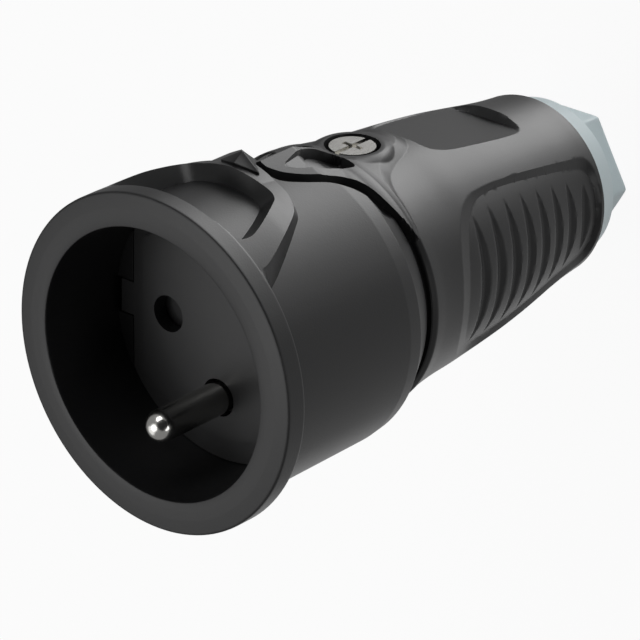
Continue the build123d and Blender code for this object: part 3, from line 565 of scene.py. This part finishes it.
def roofHeight(across, depth):
    # height of the tongue's crest and of its two slopes over the axis
    look = rearShell
    crest = np.interp(depth, *zip(*look["tongueCrest"]))
    return crest - np.interp(depth, *zip(*look["tongueFall"])) * np.abs(across)


def unrolled(outline, height):
    # an outline seen from above, laid onto the unrolled shell
    return [(math.atan2(x, float(height(x, y))) * rearShell["unroll"], y) for x, y in outline]


def gripOutline(half, side):
    # an outline in height above the grip's middle line and depth, laid onto the unrolled shell
    return [(rearShell["unroll"] * (side * math.pi / 2 + h / float(plainRear(d))), d) for h, d in half]


grooves = []
for number, reach in enumerate(grip["reach"]):
    middle = grip["first"] + grip["step"] * number
    tall = math.radians(reach) * float(plainRear(middle))
    parts = np.linspace(-1, 1, grip["points"])
    edge = [(tall * p, middle + grip["half"] * (1 - p * p)) for p in parts]
    grooves.append((middle, tall, edge + [(h, 2 * middle - d) for h, d in reversed(edge[1:-1])]))
panelEdge = rounded(twoSided(grip["panel"]))
panelInner = rounded(twoSided(grip["panelFloor"]))


def gripSunk(depth, angle, plain):
    # how deep the grip panel and its grooves lie under the plain body
    across = (np.abs(angle) - math.pi / 2) * plain
    sunk = grip["drop"] * ramped(across, depth, panelInner, panelEdge)
    for middle, tall, _ in grooves:
        part = np.clip(1 - (across / tall) ** 2, 0, 1)
        vee = np.minimum(part - np.abs(depth - middle) / grip["half"], part - grip["valley"])
        sunk = sunk + grip["sink"] * np.maximum(vee, 0)
    return sunk


def screwRing(radius):
    # a circle round the housing screw, laid onto the unrolled shell
    look = rearShell
    return unrolled([(radius * math.sin(a), look["screwDepth"] + radius * math.cos(a))
                     for a in np.linspace(0, 2 * math.pi, 48, endpoint=False)], lambda x, y: look["screwLand"])


rearOutlines = {key: rounded(twoSided(rearShell[key])) for key in ("yokeTop", "yokeFoot")}
for key in ("label", "labelFoot"):
    seenFromAbove = unrolled(twoSided(rearShell[key]), lambda x, y: math.sqrt(float(plainRear(y)) ** 2 - x * x))
    rearOutlines[key] = rounded(seenFromAbove)
pocketEdge = rounded(unrolled(rearShell["pocket"], roofHeight))
pocketMiddle = pocketEdge.mean(0)
pocketFoot = pocketMiddle + (pocketEdge - pocketMiddle) * rearShell["pocketFootShare"]
rampEdge = np.array(unrolled(rearShell["ramp"], roofHeight))
screwLip, screwWall = screwRing(rearShell["screwHoleLip"]), screwRing(rearShell["screwHole"])


def rearRadius(depth, angle):
    look = rearShell
    angle = (angle + math.pi) % (2 * math.pi) - math.pi
    plain = plainRear(depth)
    radius = plain - gripSunk(depth, angle, plain)
    across = angle * look["unroll"]
    crest = np.interp(depth, *zip(*look["tongueCrest"]))
    fall = np.interp(depth, *zip(*look["tongueFall"]))
    lean = np.minimum(np.abs(angle), np.arctan(fall))
    roof = crest / (np.cos(lean) + fall * np.sin(lean))
    cone = smoothCurve(*zip(*look["yokeCone"]), depth)
    raised = np.where(depth < look["crestTo"], np.maximum(roof, cone), cone)
    tall = ramped(across, depth, rearOutlines["yokeTop"], rearOutlines["yokeFoot"])
    radius = radius + tall * (np.abs(angle) < look["yokeReach"]) * np.maximum(raised - radius, 0)
    for side in (1, -1):
        sunk = ramped(side * across, depth, pocketFoot, pocketEdge)
        part = (depth - look["rampFrom"]) / (look["rampTo"] - look["rampFrom"])
        slope = np.clip(part, look["rampLeast"], look["rampMost"]) * look["rampDrop"]
        onRamp = np.clip(insideBy(side * across, depth, rampEdge) / look["rampEdge"] + 1, 0, 1)
        drop = look["pocketDrop"] + (slope - look["pocketDrop"]) * onRamp
        radius = radius - sunk * drop
    # the land round the housing screw is flat, with a round hole in it
    near = (np.abs(angle) < look["landReach"]) & (depth > look["landFrom"])
    away = np.hypot(radius * np.sin(angle), depth - look["screwDepth"])
    land = np.clip((look["landRadius"] - away) / look["landFade"], 0, 1) * near
    height = radius * np.cos(angle)
    radius = np.where(land > 0, (height + (look["screwLand"] - height) * land) / np.cos(angle), radius)
    hole = ramped(across, depth, screwWall, screwLip)
    height = radius * np.cos(angle)
    radius = np.where(hole > 0, (height + (look["screwFloor"] - height) * hole) / np.cos(angle), radius)
    # the bare flat behind the yoke
    floor = np.interp(depth, *zip(*look["labelFloor"])) / np.cos(angle)
    cut = ramped(across, depth, rearOutlines["labelFoot"], rearOutlines["label"])
    return radius + cut * np.minimum(floor - radius, 0)


def makeRearShell():
    look, grid = rearShell, rearGrid
    strip = rowDepths(*grid["tongue"])[:-1]
    offsets = np.array(grid["grooveRows"])
    steps = grip["step"] * np.arange(len(grip["reach"]))
    groups = [grip["first"] + step + side * offsets for step in steps for side in (1, -1)]
    grooved = np.unique(np.round(np.concatenate(groups + [grid["betweenFrom"] + steps]), 3))
    rows = np.concatenate([rowDepths(*grid["front"]), [grid["rim"]], rowDepths(*grid["yoke"]), grooved,
                           rowDepths(*grid["end"])])
    half, sideTo, turn = grid["fineHalf"], grid["sideTo"], 2 * math.pi
    angles = columnAngles([(-half, half, grid["fine"]), (half, sideTo, grid["side"]),
                           (sideTo, turn - sideTo, grid["far"]), (turn - sideTo, turn - half, grid["side"])])
    count = len(angles)
    narrow = [at for at in range(grid["fine"]) if abs(angles[at]) < grid["tongueHalf"]]
    drawn = list(rearOutlines.values()) + [pocketEdge, pocketFoot, rampEdge, screwLip, screwWall]
    drawn += [mirrored(outline) for outline in (pocketEdge, pocketFoot, rampEdge)]

    def shaped(depth, angle, first, last):
        # the outside at these rows and columns, with the rim's own rows held where they are
        turned = (angle + math.pi) % (2 * math.pi) - math.pi
        free = (depth > first) & (depth < last) & ((depth < grid["heldFrom"]) | (depth > grid["heldTo"]))
        top = free & (np.abs(turned) < grid["freeHalf"])
        across, newDepth = drawnTo(drawn, turned * look["unroll"], depth, look["pitch"], top)
        for side in (1, -1):
            held = free & (np.abs(np.abs(turned) - math.pi / 2) < grid["gripHalf"])
            held &= (turned * side > 0) & (depth > grid["gripFrom"])
            outlines = [gripOutline(edge, side)
                        for edge in [panelEdge, panelInner] + [edge for _, _, edge in grooves]]
            for pitch, near in ((look["gripPitch"], np.abs(turned) > grid["gripCoarse"]),
                                (look["pitch"], np.abs(turned) < grid["gripFine"])):
                across, newDepth = drawnTo(outlines, across, newDepth, pitch, held & near)
        turned = across / look["unroll"]
        return placeOf(rearRadius(newDepth, turned), newDepth, turned).reshape(-1, 3)

    depth, angle = np.meshgrid(rows, angles, indexing="ij")
    blocks = [shaped(depth, angle, *grid["bodyFree"])] + ringsInside(look["inside"], angles)
    ringRows = len(rows) + len(look["inside"])
    faces = ringGrid(ringRows, count, close=False)
    lastRow = (ringRows - 1) * count
    # the tongue is a strip in front of the first full row, with its own underside
    first = ringRows * count
    depth, angle = np.meshgrid(strip, angles[narrow], indexing="ij")
    blocks.append(shaped(depth, angle, *grid["tongueFree"]))
    underRows = np.append(strip, grid["tongue"][1])
    depth, angle = np.meshgrid(underRows, angles[narrow], indexing="ij")
    under = first + len(strip) * len(narrow)
    blocks.append(placeOf(np.full(depth.shape, grid["underside"]), depth, angle).reshape(-1, 3))
    width = len(narrow)

    def upper(row, column):
        return narrow[column] if row == len(strip) else first + row * width + column

    for row in range(len(strip)):
        for column in range(width - 1):
            faces.append((upper(row, column), upper(row, column + 1),
                          upper(row + 1, column + 1), upper(row + 1, column)))
            here, there = under + row * width + column, under + (row + 1) * width + column
            faces.append((here, there, there + 1, here + 1))
        for column in (0, width - 1):
            here, there = under + row * width + column, under + (row + 1) * width + column
            faces.append((upper(row, column), upper(row + 1, column), there, here))
    for column in range(width - 1):
        faces.append((upper(0, column), under + column, under + column + 1, upper(0, column + 1)))
    seam = under + len(strip) * width
    for column in range(count):
        beside = (column + 1) % count
        if column in narrow and beside in narrow:
            at = narrow.index(column)
            faces.append((lastRow + column, lastRow + beside, seam + at + 1, seam + at))
        else:
            faces.append((lastRow + column, lastRow + beside, beside, column))
    for column, inner in ((0, narrow[0]), (width - 1, narrow[-1])):
        faces.append((lastRow + inner, seam + column, inner))
    points = np.concatenate(blocks)
    return pieceFrom("rearShellSkin", points, splitFlat(faces, points), "black_plastic", look["sharpDegrees"])


rearSkin = makeRearShell()
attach(rearSkin, "housing")
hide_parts("rear_shell")
print("rear shell:", len(rearSkin.data.polygons), "faces")


glandNut = {
    "flange": [(84.5, 13.45), (84.62, 13.75), (84.85, 13.85), (88.45, 12.80), (88.7, 12.72)],
    "across": 20.8, "cornerCut": 0.05, "cornerBlend": 0.12, "round": 0.9, "roundShare": 0.55, "end": 93.4,
    "flangeTo": 88.7, "blendFrom": 88.62, "blendLength": 0.22, "columns": 360, "sharpDegrees": 40,
    "inside": [(6.9, 93.4), (6.62, 93.25), (6.5, 93.0), (6.5, 91.4), (6.7, 91.2), (8.3, 89.7), (9.45, 89.7),
               (9.45, 88.56), (10.7, 88.56), (10.7, 84.5)],
}


def nutRadius(depth, angle):
    look = glandNut
    turn = (angle + math.pi / 6) % (math.pi / 3) - math.pi / 6
    flat, blend = look["across"] / 2 / np.cos(turn), look["cornerBlend"]
    corner = look["across"] / 2 / math.cos(math.pi / 6) - look["cornerCut"]
    flat = -np.log(np.exp(-flat / blend) + math.exp(-corner / blend)) * blend
    edge = np.clip((depth - (look["end"] - look["round"])) / look["round"], 0, 1)
    hexagon = flat - look["round"] * look["roundShare"] * (1 - np.sqrt(np.maximum(1 - edge ** 2, 0)))
    flange = np.interp(depth, *zip(*look["flange"]))
    share = np.clip((depth - look["blendFrom"]) / look["blendLength"], 0, 1)
    return np.where(depth <= look["flangeTo"], flange, hexagon) * share + flange * (1 - share)


def makeGlandNut():
    rows = np.concatenate([rowDepths(84.5, 88.6, 0.4, [84.62, 84.85, 88.45]), [88.66, 88.72, 88.78, 88.86],
                           rowDepths(89.0, 92.5, 0.5), rowDepths(92.55, 93.4, 0.085)])
    angles = np.linspace(0, 2 * math.pi, glandNut["columns"], endpoint=False)
    depth, angle = np.meshgrid(rows, angles, indexing="ij")
    outside = placeOf(nutRadius(depth, angle), depth, angle).reshape(-1, 3)
    inside = ringsInside(glandNut["inside"], angles)
    faces = ringGrid(len(rows) + len(inside), len(angles))
    return pieceFrom("glandNutSkin", np.concatenate([outside] + inside), faces, "nut_plastic",
                     glandNut["sharpDegrees"])


nutSkin = makeGlandNut()
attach(nutSkin, "gland_nut")
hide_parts("gland_nut")
print("gland nut:", len(nutSkin.data.polygons), "faces")

# The camera that was fitted to the photograph
view = {"place": (-0.35187, -0.25211, 0.47482), "turns": (-24.52165, 40.53759, -178.84777), "sensor": 36.0,
        "lens": 236.25, "nearest": 0.01, "farthest": 20}
camera = linked("camera", bpy.data.cameras.new("camera"))
camera.data.sensor_width, camera.data.lens = view["sensor"], view["lens"]
camera.location = view["place"]
camera.rotation_euler = Euler([math.radians(turn) for turn in view["turns"]], "XYZ")
camera.data.clip_start, camera.data.clip_end = view["nearest"], view["farthest"]
bpy.context.scene.camera = camera

# A lit acrylic table in a dim room: softboxes stand over it and shine up through it
card = {"direction": (-0.578, -0.414, 0.703), "distance": 0.85, "radius": 0.62, "corners": 32, "colour": 0.01}
stage = {"room": 0.24, "floorHalf": 3, "floorColour": 0.86, "glow": 0.93, "rough": 0.9, "middle": (0, 0, 0.05)}
lamps = [  # name, direction from the socket, distance and width in metres, brightness
    ("underTableWide", (0.06, -0.66, -0.75), 0.8, 0.95, 1.2),
    ("underTableKey", (0.07, -0.60, -0.80), 0.8, 0.50, 3.4),
    ("underTableFar", (0.30, 0.70, -0.65), 0.8, 0.50, 0.5),
    ("underTableFill", (-0.50, 0.20, -0.84), 0.8, 1.40, 0.26),
    ("underTableSide", (-0.50, -0.48, -0.72), 0.8, 0.42, 0.75),
    ("overhead", (0.26, 0.06, 0.96), 1.1, 0.85, 1.5),
    ("behind", (0.55, 0.42, 0.72), 1.1, 0.90, 0.75),
    ("front", (0.05, -0.85, 0.50), 1.1, 0.7, 2.6),
    ("pinGlint", (-0.66, -0.62, 0.42), 1.0, 0.14, 9.0),
    ("side", (-0.92, -0.05, 0.38), 1.1, 0.6, 2.6),
]
world = bpy.data.worlds.new("world")
bpy.context.scene.world = world
world.use_nodes = True
sky = world.node_tree
path = sky.nodes.new("ShaderNodeLightPath")
seen = sky.nodes.new("ShaderNodeMix")
seen.data_type = "FLOAT"
sky.links.new(path.outputs["Is Camera Ray"], seen.inputs["Factor"])
seen.inputs["A"].default_value, seen.inputs["B"].default_value = stage["room"], 1.0
sky.links.new(seen.outputs["Result"], sky.nodes["Background"].inputs["Strength"])
sky.nodes["Background"].inputs["Color"].default_value = (1, 1, 1, 1)

floorMesh = bpy.data.meshes.new("floor")
reach = stage["floorHalf"]
floorMesh.from_pydata([(-reach, -reach, 0), (reach, -reach, 0), (reach, reach, 0), (-reach, reach, 0)], [],
                      [(0, 1, 2, 3)])
floor = linked("floor", floorMesh)
floor.visible_glossy = floor.visible_shadow = False  # the light under the table comes through it
floorFinish = Finish("paleFloor", Roughness=stage["rough"])
floorFinish.shader.inputs["Base Color"].default_value = (stage["floorColour"],) * 3 + (1,)
tree = floorFinish.tree
glow = tree.nodes.new("ShaderNodeEmission")
glow.inputs["Strength"].default_value = 1.0
mixed = tree.nodes.new("ShaderNodeMixShader")
rays = tree.nodes.new("ShaderNodeLightPath")
share = Wire(tree, rays.outputs["Is Camera Ray"]) * stage["glow"]
tree.links.new(share.socket, mixed.inputs["Fac"])
tree.links.new(floorFinish.shader.outputs[0], mixed.inputs[1])
tree.links.new(glow.outputs[0], mixed.inputs[2])
tree.links.new(mixed.outputs[0], tree.nodes["Material Output"].inputs["Surface"])
floorMesh.materials.append(floorFinish.material)

# A black card round the camera keeps every wall that faces it dark
cardMesh = bpy.data.meshes.new("blackCard")
towards = Vector(card["direction"]).normalized()
sideways = towards.orthogonal().normalized()
upwards = towards.cross(sideways)
ring = [towards * card["distance"] + (sideways * math.cos(a) + upwards * math.sin(a)) * card["radius"]
        for a in np.linspace(0, 2 * math.pi, card["corners"], endpoint=False)]
cardMesh.from_pydata(ring, [], [tuple(range(card["corners"]))])
blackCard = linked("blackCard", cardMesh)
cardFinish = Finish("blackCloth", Roughness=stage["rough"])
cardFinish.shader.inputs["Base Color"].default_value = (card["colour"],) * 3 + (1,)
cardMesh.materials.append(cardFinish.material)

for name, direction, distance, width, brightness in lamps:
    light = bpy.data.lights.new(name, "AREA")
    light.shape, light.size = "DISK", width
    light.energy = brightness * math.pi * math.pi * width * width / 4
    lamp = linked(name, light)
    towards = Vector(direction).normalized()
    lamp.location = Vector(stage["middle"]) + towards * distance
    lamp.rotation_euler = towards.to_track_quat("Z", "Y").to_euler()
bpy.context.scene.view_settings.view_transform = "Standard"
print("stage set")
